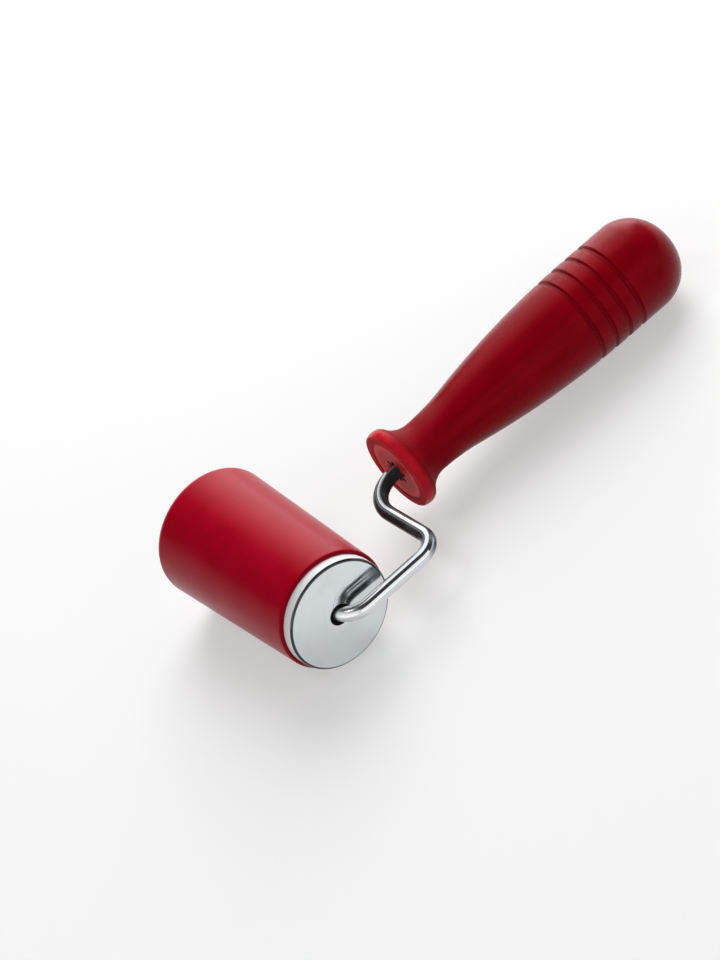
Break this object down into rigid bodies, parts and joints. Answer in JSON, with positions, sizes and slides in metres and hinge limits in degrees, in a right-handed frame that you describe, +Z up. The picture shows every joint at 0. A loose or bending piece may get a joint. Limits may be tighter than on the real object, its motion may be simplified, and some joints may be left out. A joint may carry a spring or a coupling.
{
  "type": "pastry roller",
  "caption": "Hand roller for dough: a slightly tapered roller turning on a bent chrome wire, with a club-shaped grooved handle on the wire's other end.",
  "frame": {"origin": "on the floor below the middle of the object's box, as it lies on its roller and on the butt of its handle", "axes": "+X from the roller along the handle to its butt, +Y along the roller to its free end, +Z up"},
  "size_m": [0.1836, 0.0756, 0.0419],
  "materials": {
    "red_satin": "satin moulded plastic",
    "red_gloss": "glossy moulded plastic",
    "chrome": "polished chrome plate",
    "pale_moulding": "as moulded",
    "spring_steel": "bright spring steel"
  },
  "bodies": {
    "frame": {"frame_rod": "chrome", "grip_body": "red_gloss", "front_plug": "red_gloss", "butt_cap": "red_gloss", "tail_washer": "spring_steel", "tail_push_nut": "spring_steel", "shoulder_washer": "spring_steel", "end_washer": "spring_steel", "axle_push_nut": "spring_steel"},
    "roller": {"roller_sleeve": "red_satin", "roller_core": "pale_moulding", "near_end_cap": "chrome", "far_end_cap": "chrome", "near_hub": "pale_moulding", "far_hub": "pale_moulding", "near_bush": "pale_moulding", "far_bush": "pale_moulding"}
  },
  "joints": [
    {"name": "roller_spin", "type": "hinge", "parent": "frame", "child": "roller", "pos_m": [-0.07081, 0.00113, 0.01996], "axis": [0, 0.9995, 0.0307], "continuous": true}
  ]
}
